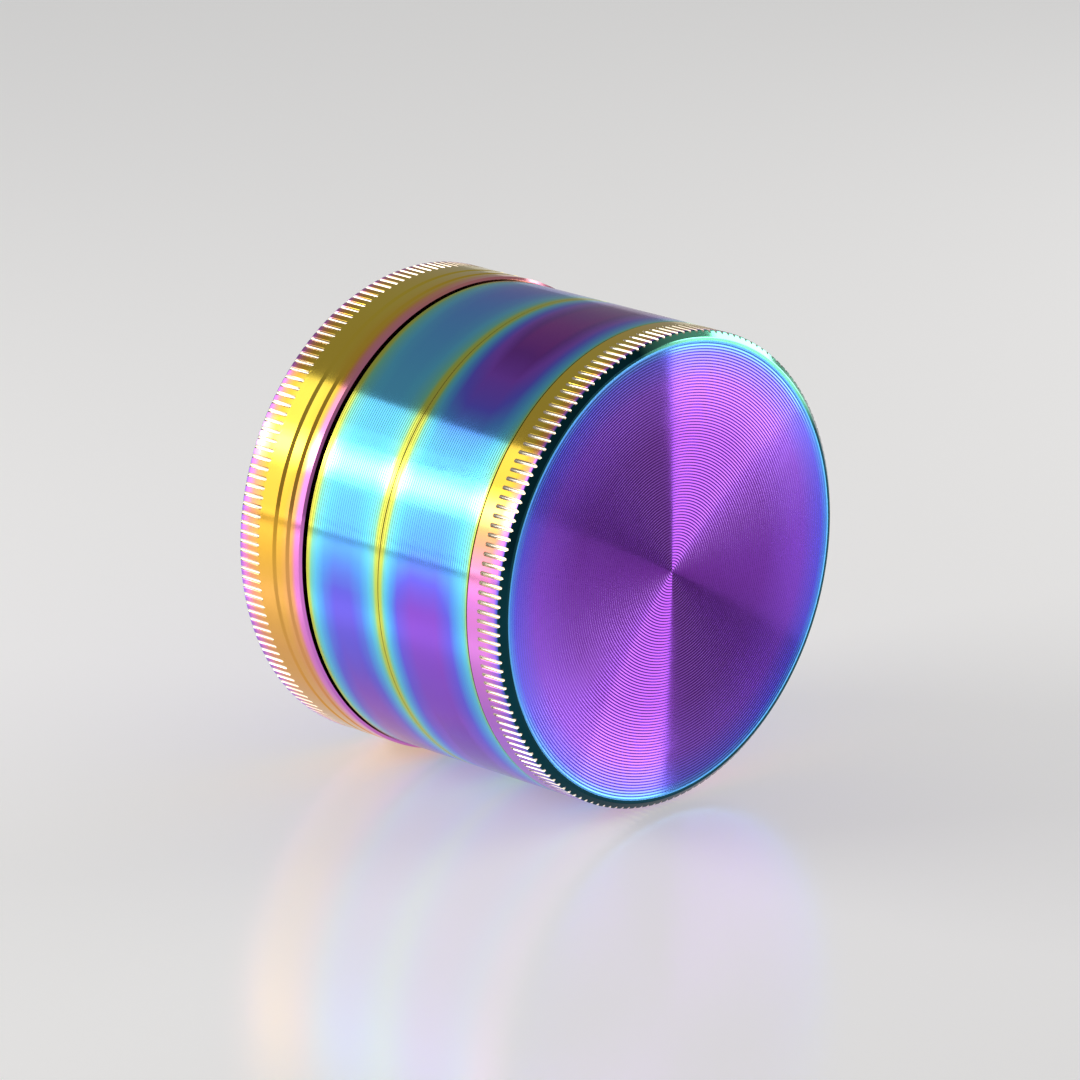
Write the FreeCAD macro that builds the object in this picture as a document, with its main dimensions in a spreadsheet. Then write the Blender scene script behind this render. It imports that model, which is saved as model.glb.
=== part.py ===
import FreeCAD, Part
import os
import re

import Sketcher

# Four-piece pocket grinder for dried herbs and spices, standing on its base with its axis on +Z.
# From the bottom: a shallow tray, a sieve chamber that screws into it, a grinding chamber that screws into
# the sieve chamber, and a lid that turns and lifts off. The lid rides on a nylon ring and a pair of magnets.
# Lengths are millimetres, and the origin is the centre of the foot.

SIZES = [
    ("body_diameter", 62.2, "outside of the tray and both chambers"),
    ("lid_overhang", 0.4, "how far the lid stands out past the chambers"),
    ("base_height", 6.0, "tray, foot to rim"),
    ("sieve_height", 15.6, "sieve chamber, outside wall"),
    ("chamber_height", 13.0, "grinding chamber, outside wall"),
    ("lid_gap", 0.6, "open line between the lid and the grinding chamber"),
    ("lid_height", 11.8, "lid, rim to top"),
    ("seat_gap", 0.08, "play between faces that seat on each other"),
    ("edge_break", 0.2, "bevel on the outside edges at the seams"),
    ("rim_chamfer_width", 1.1, "bevel round the foot and round the lid's top, across"),
    ("rim_chamfer_height", 0.9, "the same bevel, along the axis"),
    ("base_floor", 1.6, "tray floor"),
    ("rim_wall", 2.1, "wall round the inside threads"),
    ("thread_pitch", 1.5, "rise in one turn"),
    ("thread_depth", 0.7, "height of a thread ridge"),
    ("thread_clearance", 0.3, "radial play between the two threads"),
    ("thread_crest", 0.3, "width of a ridge at its crest"),
    ("thread_root", 0.8, "width of a ridge at its root"),
    ("thread_lead_in", 1.2, "plain bore above the inside thread"),
    ("thread_run_out", 0.4, "plain bore below the inside thread"),
    ("spigot_wall", 2.0, "collar wall behind the thread"),
    ("spigot_end_gap", 0.8, "room below a collar that is screwed home"),
    ("sieve_wall", 4.1, "sieve chamber's wall below its thread"),
    ("kief_depth", 5.3, "tray floor to the sieve"),
    ("screen_thickness", 0.4, "sieve wire cloth"),
    ("screen_pitch", 2.6, "spacing of the sieve's openings"),
    ("screen_wire", 0.5, "web between two openings"),
    ("screen_margin", 1.3, "plain edge that is clamped"),
    ("ledge_width", 1.4, "step that the sieve is clamped against"),
    ("ledge_thickness", 1.2, "the same step, along the axis"),
    ("clip_height", 1.6, "ring that holds the sieve up"),
    ("fit_clearance", 0.08, "radial play of pressed and glued pieces"),
    ("lid_wall", 2.5, "lid's skirt"),
    ("neck_wall", 2.2, "grinding chamber's neck, inside the lid"),
    ("chamber_depth", 12.6, "neck rim to the grinding floor"),
    ("chamber_floor", 2.6, "grinding floor"),
    ("lid_clearance", 0.4, "radial play between the lid and the neck"),
    ("lid_roof", 3.4, "thickness of the lid's top"),
    ("friction_ring_width", 2.2, "nylon ring, across"),
    ("friction_ring_thickness", 1.3, "nylon ring, along the axis"),
    ("boss_wall", 1.9, "post round each magnet"),
    ("magnet_diameter", 8.0, "disc magnets"),
    ("magnet_thickness", 3.0, "disc magnets"),
    ("magnet_gap", 0.6, "air between the two magnets"),
    ("magnet_bevel", 0.3, "bevel on the magnets' edges"),
    ("slot_count", 160, "grip slots round each rim"),
    ("slot_width", 0.5, "grip slot, across"),
    ("slot_depth", 0.45, "grip slot, into the wall"),
    ("slot_length", 4.5, "grip slot, from the end face"),
    ("groove_width", 0.7, "turned line on the lid"),
    ("groove_depth", 0.35, "the same line, into the wall"),
    ("lower_groove", 2.4, "lid rim to the lower line"),
    ("upper_groove", 4.8, "lid rim to the upper line"),
    ("tooth_length", 4.6, "diamond tooth, round the axis"),
    ("tooth_clearance", 0.9, "room between two rings of teeth"),
    ("tooth_end_gap", 1.0, "room past the end of each tooth"),
    ("lid_inner_teeth", 6, "teeth on the lid's inner ring"),
    ("lid_outer_teeth", 10, "teeth on the lid's outer ring"),
    ("chamber_inner_teeth", 8, "teeth on the chamber's inner ring"),
    ("chamber_outer_teeth", 12, "teeth on the chamber's outer ring"),
    ("drop_hole_diameter", 3.0, "holes through the grinding floor"),
    ("drop_hole_margin", 0.3, "outer holes to the neck wall"),
    ("inner_drop_holes", 6, "holes under the lid's inner teeth"),
    ("middle_drop_holes", 12, "holes under the lid's outer teeth"),
    ("scraper_length", 30.0, "loose scraper in the tray"),
    ("scraper_width", 13.0, "scraper at its wide end"),
    ("scraper_tip", 4.0, "scraper at its narrow end"),
    ("scraper_thickness", 1.0, "scraper sheet"),
    ("scraper_offset", 9.0, "scraper's middle from the axis"),
]

# Places and radii that follow from the sizes, each a formula on the names above it.
DERIVED = [
    ("body_radius", "body_diameter / 2"),
    ("lid_radius", "body_radius + lid_overhang"),
    ("bore_radius", "body_radius - rim_wall"),
    ("ridge_in_radius", "bore_radius - thread_depth"),
    ("ridge_out_radius", "bore_radius - thread_clearance"),
    ("spigot_radius", "ridge_out_radius - thread_depth"),
    ("spigot_bore_radius", "spigot_radius - spigot_wall"),
    ("sieve_radius", "body_radius - sieve_wall"),
    ("ledge_radius", "spigot_bore_radius - ledge_width"),
    ("skirt_radius", "lid_radius - lid_wall"),
    ("neck_radius", "skirt_radius - lid_clearance"),
    ("cavity_radius", "neck_radius - neck_wall"),
    ("magnet_radius", "magnet_diameter / 2"),
    ("magnet_pocket_radius", "magnet_radius + fit_clearance"),
    ("boss_radius", "magnet_pocket_radius + boss_wall"),
    ("thread_length", "base_height - base_floor - thread_lead_in - thread_run_out - thread_root / 2"),
    ("spigot_length", "base_height - base_floor - spigot_end_gap"),
    ("sieve_foot", "base_height + seat_gap"),
    ("sieve_rim", "base_height + sieve_height"),
    ("chamber_foot", "sieve_rim + seat_gap"),
    ("chamber_shoulder", "sieve_rim + chamber_height"),
    ("lid_rim", "chamber_shoulder + lid_gap"),
    ("lid_top", "lid_rim + lid_height"),
    ("lid_ceiling", "lid_top - lid_roof"),
    ("friction_ring_top", "lid_ceiling - seat_gap"),
    ("friction_ring_foot", "friction_ring_top - friction_ring_thickness"),
    ("neck_rim", "friction_ring_foot - seat_gap"),
    ("grinding_floor", "neck_rim - chamber_depth"),
    ("grinding_underside", "grinding_floor - chamber_floor"),
    ("tooth_height", "lid_ceiling - tooth_end_gap - grinding_floor"),
    ("magnet_level", "(grinding_floor + lid_ceiling) / 2"),
    ("chamber_boss_top", "magnet_level - magnet_gap / 2"),
    ("lid_boss_foot", "magnet_level + magnet_gap / 2"),
    ("screen_foot", "base_floor + kief_depth"),
    ("screen_top", "screen_foot + screen_thickness"),
    ("screen_radius", "spigot_bore_radius - fit_clearance"),
    ("ledge_foot", "screen_top + seat_gap"),
    ("clip_top", "screen_foot - seat_gap"),
    ("tooth_ring_step", "(cavity_radius - boss_radius) / 5"),
    ("tooth_width", "tooth_ring_step - tooth_clearance"),
    ("first_tooth_ring", "boss_radius + tooth_ring_step"),
    ("second_tooth_ring", "boss_radius + 2 * tooth_ring_step"),
    ("third_tooth_ring", "boss_radius + 3 * tooth_ring_step"),
    ("fourth_tooth_ring", "boss_radius + 4 * tooth_ring_step"),
    ("drop_hole_radius", "drop_hole_diameter / 2"),
    ("outer_hole_ring", "cavity_radius - drop_hole_margin - drop_hole_radius"),
]

doc = FreeCAD.newDocument("Grinder")
sheet = doc.addObject("Spreadsheet::Sheet", "Sizes")
for row, (alias, size, meaning) in enumerate(SIZES, start=1):
    sheet.set(f"A{row}", alias)
    sheet.set(f"B{row}", str(size))
    sheet.set(f"C{row}", meaning)
    sheet.setAlias(f"B{row}", alias)
doc.recompute()

FORMULAS = {"cos": "cos", "sin": "sin"}
for alias, size, meaning in SIZES:
    FORMULAS[alias] = f"Sizes.{alias}"


def formula(text):
    """The expression for a formula on the names of sizes and derived places."""
    return re.sub(r"[a-z]\w*", lambda word: FORMULAS[word.group()], text)


for name, text in DERIVED:
    FORMULAS[name] = f"({formula(text)})"


def value(text):
    """What a formula comes to with the sizes in the sheet."""
    return float(sheet.evalExpression(formula(text)))


def new_body(name):
    body = doc.addObject("PartDesign::Body", name)
    body.Label = name
    return body


def new_sketch(body, name, plane, height=None):
    """An empty sketch on one of the body's own planes, lifted to a height along +Z if one is given."""
    sketch = body.newObject("Sketcher::SketchObject", f"{body.Name}_{name}")
    support = next(p for p in body.Origin.OriginFeatures if p.Role == plane)
    sketch.AttachmentSupport = (support, [""])
    sketch.MapMode = "FlatFace"
    if height:
        sketch.setExpression(".AttachmentOffset.Base.z", formula(height))
    return sketch


def place_point(sketch, line, end, across, along):
    """Ties one end of a line to formulas for its two coordinates. The text 0 puts it on that axis."""
    for kind, axis, text in (("DistanceX", -2, across), ("DistanceY", -1, along)):
        if text == "0":
            sketch.addConstraint(Sketcher.Constraint("PointOnObject", line, end, axis))
        else:
            at = sketch.addConstraint(Sketcher.Constraint(kind, -1, 1, line, end, value(text)))
            sketch.setExpression(f"Constraints[{at}]", formula(text))


def outline(sketch, corners):
    """A closed outline of straight lines whose corners are pairs of formulas."""
    points = [FreeCAD.Vector(value(a), value(b), 0) for a, b in corners]
    count = len(points)
    for i in range(count):
        sketch.addGeometry(Part.LineSegment(points[i], points[(i + 1) % count]))
    for i in range(count):
        sketch.addConstraint(Sketcher.Constraint("Coincident", i, 2, (i + 1) % count, 1))
    for i, (across, along) in enumerate(corners):
        place_point(sketch, i, 1, across, along)


def circle(sketch, across, along, radius):
    centre = FreeCAD.Vector(value(across), value(along), 0)
    at = sketch.addGeometry(Part.Circle(centre, FreeCAD.Vector(0, 0, 1), value(radius)))
    size = sketch.addConstraint(Sketcher.Constraint("Radius", at, value(radius)))
    sketch.setExpression(f"Constraints[{size}]", formula(radius))
    place_point(sketch, at, 3, across, along)


def turned(body, corners):
    """A solid of revolution about the axis, from corners of (radius, height)."""
    sketch = new_sketch(body, "section", "XZ_Plane")
    outline(sketch, corners)
    feature = body.newObject("PartDesign::Revolution", f"{body.Name}_turned")
    feature.Profile = sketch
    feature.ReferenceAxis = (sketch, ["V_Axis"])
    feature.Angle = 360
    sketch.Visibility = False
    doc.recompute()
    return feature


def around(body, feature, sketch, name, count):
    """Repeats a feature evenly round the axis."""
    pattern = body.newObject("PartDesign::PolarPattern", f"{body.Name}_{name}")
    pattern.Originals = [feature]
    pattern.Axis = (sketch, ["N_Axis"])
    pattern.Angle = 360
    pattern.setExpression("Occurrences", formula(count))
    body.Tip = pattern
    doc.recompute()


def thread(body, name, root_radius, crest_radius, start):
    """A right-hand ridge that starts at a height and climbs thread_pitch in each turn."""
    sketch = new_sketch(body, f"{name}_section", "XZ_Plane")
    outline(
        sketch,
        [
            (root_radius, f"{start} - thread_root / 2"),
            (crest_radius, f"{start} - thread_crest / 2"),
            (crest_radius, f"{start} + thread_crest / 2"),
            (root_radius, f"{start} + thread_root / 2"),
        ],
    )
    ridge = body.newObject("PartDesign::AdditiveHelix", f"{body.Name}_{name}")
    ridge.Profile = sketch
    ridge.ReferenceAxis = (sketch, ["V_Axis"])
    ridge.Mode = "pitch-height-angle"
    ridge.setExpression("Pitch", formula("thread_pitch"))
    ridge.setExpression("Height", formula("thread_length"))
    ridge.LeftHanded = False
    body.Tip = ridge
    doc.recompute()


def inside_thread(body, name, rim):
    """The ridge in a bore whose mouth is at rim. Its root reaches a little into the bore's wall."""
    start = f"{rim} - thread_lead_in - thread_length"
    thread(body, name, "bore_radius + fit_clearance", "ridge_in_radius", start)


def outside_thread(body, name, rim):
    """The ridge on a collar that screws into such a bore, half a pitch from the bore's own ridge."""
    start = f"{rim} - thread_lead_in - thread_length + thread_pitch / 2"
    thread(body, name, "spigot_radius - fit_clearance", "ridge_out_radius", start)


def grip_slots(body, radius, end_face, upwards):
    """Slots round a rim, open at the end face and at the outside."""
    sketch = new_sketch(body, "slot_section", "XY_Plane", end_face)
    inner = f"{radius} - slot_depth"
    outer = f"{radius} + slot_depth"
    outline(
        sketch,
        [
            (inner, "-slot_width / 2"),
            (outer, "-slot_width / 2"),
            (outer, "slot_width / 2"),
            (inner, "slot_width / 2"),
        ],
    )
    slot = body.newObject("PartDesign::Pocket", f"{body.Name}_slot")
    slot.Profile = sketch
    slot.Type = "Length"
    slot.setExpression("Length", formula("slot_length"))
    slot.Reversed = upwards
    around(body, slot, sketch, "slots", "slot_count")


def tooth_ring(body, name, radius, count, root, downwards):
    """A ring of diamond teeth, with a gap between two teeth on the +X axis."""
    sketch = new_sketch(body, f"{name}_section", "XY_Plane", root)
    turn = f"180 / {count}"
    outline(
        sketch,
        [
            (f"({radius} - tooth_width / 2) * cos({turn})", f"({radius} - tooth_width / 2) * sin({turn})"),
            (
                f"{radius} * cos({turn}) + tooth_length / 2 * sin({turn})",
                f"{radius} * sin({turn}) - tooth_length / 2 * cos({turn})",
            ),
            (f"({radius} + tooth_width / 2) * cos({turn})", f"({radius} + tooth_width / 2) * sin({turn})"),
            (
                f"{radius} * cos({turn}) - tooth_length / 2 * sin({turn})",
                f"{radius} * sin({turn}) + tooth_length / 2 * cos({turn})",
            ),
        ],
    )
    tooth = body.newObject("PartDesign::Pad", f"{body.Name}_{name}_tooth")
    tooth.Profile = sketch
    tooth.setExpression("Length", formula("tooth_height"))
    tooth.Reversed = downwards
    around(body, tooth, sketch, f"{name}_teeth", count)


def drop_holes(body, name, radius, count, turn):
    """A ring of holes through the grinding floor, the first one turned from the +X axis."""
    sketch = new_sketch(body, f"{name}_section", "XY_Plane", "grinding_floor")
    circle(sketch, f"{radius} * cos({turn})", f"{radius} * sin({turn})", "drop_hole_radius")
    hole = body.newObject("PartDesign::Pocket", f"{body.Name}_{name}_hole")
    hole.Profile = sketch
    hole.Type = "Length"
    hole.setExpression("Length", formula("chamber_floor + edge_break"))
    around(body, hole, sketch, f"{name}_holes", count)


def make_base_tray():
    body = new_body("base_tray")
    turned(
        body,
        [
            ("0", "0"),
            ("body_radius - rim_chamfer_width", "0"),
            ("body_radius", "rim_chamfer_height"),
            ("body_radius", "base_height - edge_break"),
            ("body_radius - edge_break", "base_height"),
            ("bore_radius", "base_height"),
            ("bore_radius", "base_floor"),
            ("0", "base_floor"),
        ],
    )
    inside_thread(body, "thread", "base_height")
    grip_slots(body, "body_radius", None, True)
    return body


def make_sieve_chamber():
    body = new_body("sieve_chamber")
    turned(
        body,
        [
            ("spigot_bore_radius", "sieve_foot - spigot_length"),
            ("spigot_radius", "sieve_foot - spigot_length"),
            ("spigot_radius", "sieve_foot"),
            ("body_radius - edge_break", "sieve_foot"),
            ("body_radius", "sieve_foot + edge_break"),
            ("body_radius", "sieve_rim - edge_break"),
            ("body_radius - edge_break", "sieve_rim"),
            ("bore_radius", "sieve_rim"),
            ("bore_radius", "chamber_foot - spigot_length - spigot_end_gap"),
            ("sieve_radius", "chamber_foot - spigot_length - spigot_end_gap"),
            ("sieve_radius", "ledge_foot + ledge_thickness"),
            ("ledge_radius", "ledge_foot + ledge_thickness"),
            ("ledge_radius", "ledge_foot"),
            ("spigot_bore_radius", "ledge_foot"),
        ],
    )
    inside_thread(body, "upper_thread", "sieve_rim")
    outside_thread(body, "lower_thread", "base_height")
    return body


def make_grinding_chamber():
    body = new_body("grinding_chamber")
    pocket_floor = "chamber_boss_top - magnet_thickness - seat_gap"
    turned(
        body,
        [
            ("0", "grinding_underside"),
            ("spigot_bore_radius", "grinding_underside"),
            ("spigot_bore_radius", "chamber_foot - spigot_length"),
            ("spigot_radius", "chamber_foot - spigot_length"),
            ("spigot_radius", "chamber_foot"),
            ("body_radius - edge_break", "chamber_foot"),
            ("body_radius", "chamber_foot + edge_break"),
            ("body_radius", "chamber_shoulder - edge_break"),
            ("body_radius - edge_break", "chamber_shoulder"),
            ("neck_radius", "chamber_shoulder"),
            ("neck_radius", "neck_rim"),
            ("cavity_radius", "neck_rim"),
            ("cavity_radius", "grinding_floor"),
            ("boss_radius", "grinding_floor"),
            ("boss_radius", "chamber_boss_top"),
            ("magnet_pocket_radius", "chamber_boss_top"),
            ("magnet_pocket_radius", pocket_floor),
            ("0", pocket_floor),
        ],
    )
    outside_thread(body, "thread", "sieve_rim")
    tooth_ring(body, "inner", "second_tooth_ring", "chamber_inner_teeth", "grinding_floor", False)
    tooth_ring(body, "outer", "fourth_tooth_ring", "chamber_outer_teeth", "grinding_floor", False)
    drop_holes(body, "inner_drop", "first_tooth_ring", "inner_drop_holes", "0")
    drop_holes(body, "middle_drop", "third_tooth_ring", "middle_drop_holes", "0")
    drop_holes(body, "outer_drop", "outer_hole_ring", "chamber_outer_teeth", "0")
    return body


def make_lid():
    body = new_body("lid")
    pocket_roof = "lid_boss_foot + magnet_thickness + seat_gap"
    corners = [
        ("0", "lid_top"),
        ("lid_radius - rim_chamfer_width", "lid_top"),
        ("lid_radius", "lid_top - rim_chamfer_height"),
    ]
    for height in ("upper_groove", "lower_groove"):
        corners += [
            ("lid_radius", f"lid_rim + {height} + groove_width / 2"),
            ("lid_radius - groove_depth", f"lid_rim + {height}"),
            ("lid_radius", f"lid_rim + {height} - groove_width / 2"),
        ]
    corners += [
        ("lid_radius", "lid_rim + edge_break"),
        ("lid_radius - edge_break", "lid_rim"),
        ("skirt_radius", "lid_rim"),
        ("skirt_radius", "lid_ceiling"),
        ("boss_radius", "lid_ceiling"),
        ("boss_radius", "lid_boss_foot"),
        ("magnet_pocket_radius", "lid_boss_foot"),
        ("magnet_pocket_radius", pocket_roof),
        ("0", pocket_roof),
    ]
    turned(body, corners)
    tooth_ring(body, "inner", "first_tooth_ring", "lid_inner_teeth", "lid_ceiling", True)
    tooth_ring(body, "outer", "third_tooth_ring", "lid_outer_teeth", "lid_ceiling", True)
    grip_slots(body, "lid_radius", "lid_top", False)
    return body


def make_friction_ring():
    """Nylon ring between the neck's rim and the lid, with its edges broken."""
    body = new_body("friction_ring")
    outer = "skirt_radius - fit_clearance"
    inner = f"{outer} - friction_ring_width"
    turned(
        body,
        [
            (inner, "friction_ring_foot + edge_break"),
            (f"{inner} + edge_break", "friction_ring_foot"),
            (f"{outer} - edge_break", "friction_ring_foot"),
            (outer, "friction_ring_foot + edge_break"),
            (outer, "friction_ring_top - edge_break"),
            (f"{outer} - edge_break", "friction_ring_top"),
            (f"{inner} + edge_break", "friction_ring_top"),
            (inner, "friction_ring_top - edge_break"),
        ],
    )
    return body


def make_magnet(name, foot):
    """A disc magnet with broken edges."""
    body = new_body(name)
    top = f"{foot} + magnet_thickness"
    turned(
        body,
        [
            ("0", foot),
            ("magnet_radius - magnet_bevel", foot),
            ("magnet_radius", f"{foot} + magnet_bevel"),
            ("magnet_radius", f"{top} - magnet_bevel"),
            ("magnet_radius - magnet_bevel", top),
            ("0", top),
        ],
    )
    return body


def make_screen_ring():
    """Plain ring below the sieve, with a lead-in bevel at its upper outside edge."""
    body = new_body("screen_ring")
    turned(
        body,
        [
            ("ledge_radius", "clip_top - clip_height"),
            ("screen_radius", "clip_top - clip_height"),
            ("screen_radius", "clip_top - edge_break"),
            ("screen_radius - edge_break", "clip_top"),
            ("ledge_radius", "clip_top"),
        ],
    )
    return body


def make_sieve_screen():
    """Wire cloth drawn as a disc with square openings, all of them inside the clamped edge."""
    radius = value("screen_radius")
    pitch = value("screen_pitch")
    opening = pitch - value("screen_wire")
    reach = radius - value("screen_margin")
    level = value("screen_foot")
    steps = int(reach // pitch) + 1
    holes = []
    for i in range(-steps, steps + 1):
        for j in range(-steps, steps + 1):
            corner = FreeCAD.Vector(abs(i * pitch) + opening / 2, abs(j * pitch) + opening / 2, 0)
            if corner.Length < reach:
                low = FreeCAD.Vector(i * pitch - opening / 2, j * pitch - opening / 2, level)
                holes.append(Part.makePlane(opening, opening, low).OuterWire)
    edge = Part.makeCircle(radius, FreeCAD.Vector(0, 0, level))
    face = Part.makeFace([Part.Wire(edge)] + holes, "Part::FaceMakerBullseye")
    screen = doc.addObject("Part::Feature", "sieve_screen")
    screen.Label = "sieve_screen"
    screen.Shape = face.extrude(FreeCAD.Vector(0, 0, value("screen_thickness")))
    return screen


def make_scraper():
    """Loose tapered scraper that lies on the tray's floor, with its corners rounded."""
    body = new_body("scraper")
    sketch = new_sketch(body, "outline", "XY_Plane", "base_floor + seat_gap")
    outline(
        sketch,
        [
            ("-scraper_length / 2", "-scraper_offset - scraper_width / 2"),
            ("scraper_length / 2", "-scraper_offset - scraper_tip / 2"),
            ("scraper_length / 2", "-scraper_offset + scraper_tip / 2"),
            ("-scraper_length / 2", "-scraper_offset + scraper_width / 2"),
        ],
    )
    sheet_metal = body.newObject("PartDesign::Pad", "scraper_sheet")
    sheet_metal.Profile = sketch
    sheet_metal.setExpression("Length", formula("scraper_thickness"))
    doc.recompute()
    corners = []
    for number, edge in enumerate(sheet_metal.Shape.Edges, start=1):
        first, last = edge.Vertexes
        if abs(first.Z - last.Z) > value("scraper_thickness / 2"):
            corners.append(f"Edge{number}")
    rounded = body.newObject("PartDesign::Fillet", "scraper_corners")
    rounded.Base = (sheet_metal, corners)
    rounded.setExpression("Radius", formula("scraper_tip / 2 - edge_break"))
    return body


pieces = [
    make_base_tray(),
    make_scraper(),
    make_sieve_chamber(),
    make_sieve_screen(),
    make_screen_ring(),
    make_grinding_chamber(),
    make_magnet("chamber_magnet", "chamber_boss_top - magnet_thickness"),
    make_friction_ring(),
    make_lid(),
    make_magnet("lid_magnet", "lid_boss_foot"),
]
doc.recompute()

for item in doc.Objects:
    if "Invalid" in item.State or "Error" in item.State:
        raise RuntimeError(f"{item.Label} did not recompute: {item.State}")
for piece in pieces:
    if piece.Shape.isNull() or not piece.Shape.isValid():
        raise RuntimeError(f"{piece.Label} has no valid shape")

os.makedirs("parts", exist_ok=True)
for piece in pieces:
    piece.Shape.exportStep(f"parts/{piece.Label}.step")
    box = piece.Shape.BoundBox
    solids = len(piece.Shape.Solids)
    print(f"{piece.Label}: {solids} solid, {piece.Shape.Volume:.1f} mm3, z {box.ZMin:.2f} to {box.ZMax:.2f}")
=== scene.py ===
import math

import bmesh
import bpy
from mathutils import Matrix, Vector


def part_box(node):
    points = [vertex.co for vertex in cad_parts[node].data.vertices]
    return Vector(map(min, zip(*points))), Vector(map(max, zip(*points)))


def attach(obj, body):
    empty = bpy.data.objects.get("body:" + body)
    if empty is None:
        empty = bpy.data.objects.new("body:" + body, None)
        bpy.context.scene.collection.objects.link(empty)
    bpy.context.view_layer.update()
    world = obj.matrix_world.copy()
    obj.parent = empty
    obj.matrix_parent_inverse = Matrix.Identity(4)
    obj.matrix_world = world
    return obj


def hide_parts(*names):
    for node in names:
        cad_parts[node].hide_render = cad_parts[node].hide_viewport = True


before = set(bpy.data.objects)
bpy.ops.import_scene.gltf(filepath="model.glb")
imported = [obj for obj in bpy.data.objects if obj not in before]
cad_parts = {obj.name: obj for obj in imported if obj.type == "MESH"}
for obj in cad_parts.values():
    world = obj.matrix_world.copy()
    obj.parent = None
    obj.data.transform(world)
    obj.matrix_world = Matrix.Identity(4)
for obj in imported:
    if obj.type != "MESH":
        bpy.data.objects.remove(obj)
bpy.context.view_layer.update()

mm = 0.001
fullTurn = 2 * math.pi
seat = 0.08  # play between faces that seat on each other and round pressed-in pieces, as in the solids
print("frame loaded:", ", ".join(sorted(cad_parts)))


def cadSize(node):
    # a node's outer radius, foot and top at rest, in millimetres
    low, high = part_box(node)
    return {"radius": round(high.x / mm, 2), "foot": round(low.z / mm, 2), "top": round(high.z / mm, 2)}


cad = {node: cadSize(node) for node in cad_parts}


def hexColour(text):
    # an sRGB hex value as linear red, green, blue and alpha
    channels = [int(text[i:i + 2], 16) / 255 for i in (1, 3, 5)]
    return [c / 12.92 if c <= 0.04045 else ((c + 0.055) / 1.055) ** 2.4 for c in channels] + [1.0]


def addNode(tree, kind, inputs=None, **settings):
    # inputs are numbers, sockets, or nodes that feed their first output
    node = tree.nodes.new(kind)
    for name, setting in settings.items():
        setattr(node, name, setting)
    for socket, feed in (inputs or {}).items():
        if isinstance(feed, bpy.types.Node):
            feed = feed.outputs[0]
        if isinstance(feed, bpy.types.NodeSocket):
            tree.links.new(feed, node.inputs[socket])
        else:
            node.inputs[socket].default_value = feed
    return node


def setStops(ramp, stops):
    # stops are (place from 0 to 1, hex colour or grey level)
    while len(ramp.elements) > 1:
        ramp.elements.remove(ramp.elements[-1])
    for i, (place, shade) in enumerate(stops):
        stop = ramp.elements[0] if i == 0 else ramp.elements.new(place)
        stop.position = place
        stop.color = hexColour(shade) if isinstance(shade, str) else (shade, shade, shade, 1.0)


def newMaterial(name):
    material = bpy.data.materials.new(name)
    material.use_nodes = True
    material.node_tree.nodes.clear()
    return material, material.node_tree


# The vapour coating's interference colours, by film thickness in nanometres; the cream, dark teal and mint
# stops are painted light, noted below.
filmAndPaintedLightColours = [
    # pale cream: a painted highlight, for the bright reflections in the grip's slots
    (20, "#f8efdc"),
    (29, "#eab66a"),
    (38, "#a838a8"),
    (43, "#8038ac"),
    (48, "#9656dc"),
    (56, "#7069f0"),
    (64, "#609ff8"),
    (76, "#68cdf4"),
    (88, "#84dcc0"),
    (96, "#c6dc62"),
    (108, "#ecd24e"),
    (120, "#f0b840"),
    (132, "#f2a080"),
    (142, "#f08ad8"),
    (152, "#b878e8"),
    (162, "#5a64d8"),
    # dark teal at 172 and 180: a painted dark reflection on the bevels
    (172, "#154c5e"),
    (180, "#0f393f"),
    # mint: a painted highlight on the top of the tray's bevel
    (188, "#7ee0ba"),
]
filmLow, filmHigh = 18, 190
coatTexture = {  # cloudy patches of film and finger smears, in millimetres
    "patch": 14.0,
    "smear": 6.0,
    "smearLevels": (0.35, 0.75),  # noise at which the metal is clean and fully smeared
}


def filmShare(thickness):
    return (thickness - filmLow) / (filmHigh - filmLow)


def filmRound(stops):
    # stops are (degrees round the axis, film); the ramp runs from -180 to 180 and closes on itself
    lap = sorted(((angle + 180) % 360 / 360, filmShare(film)) for angle, film in stops)
    first, last = lap[0], lap[-1]
    share = (1 - last[0]) / (1 - last[0] + first[0])
    seam = last[1] + (first[1] - last[1]) * share
    return [(0.0, seam)] + lap + [(1.0, seam)]


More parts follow.
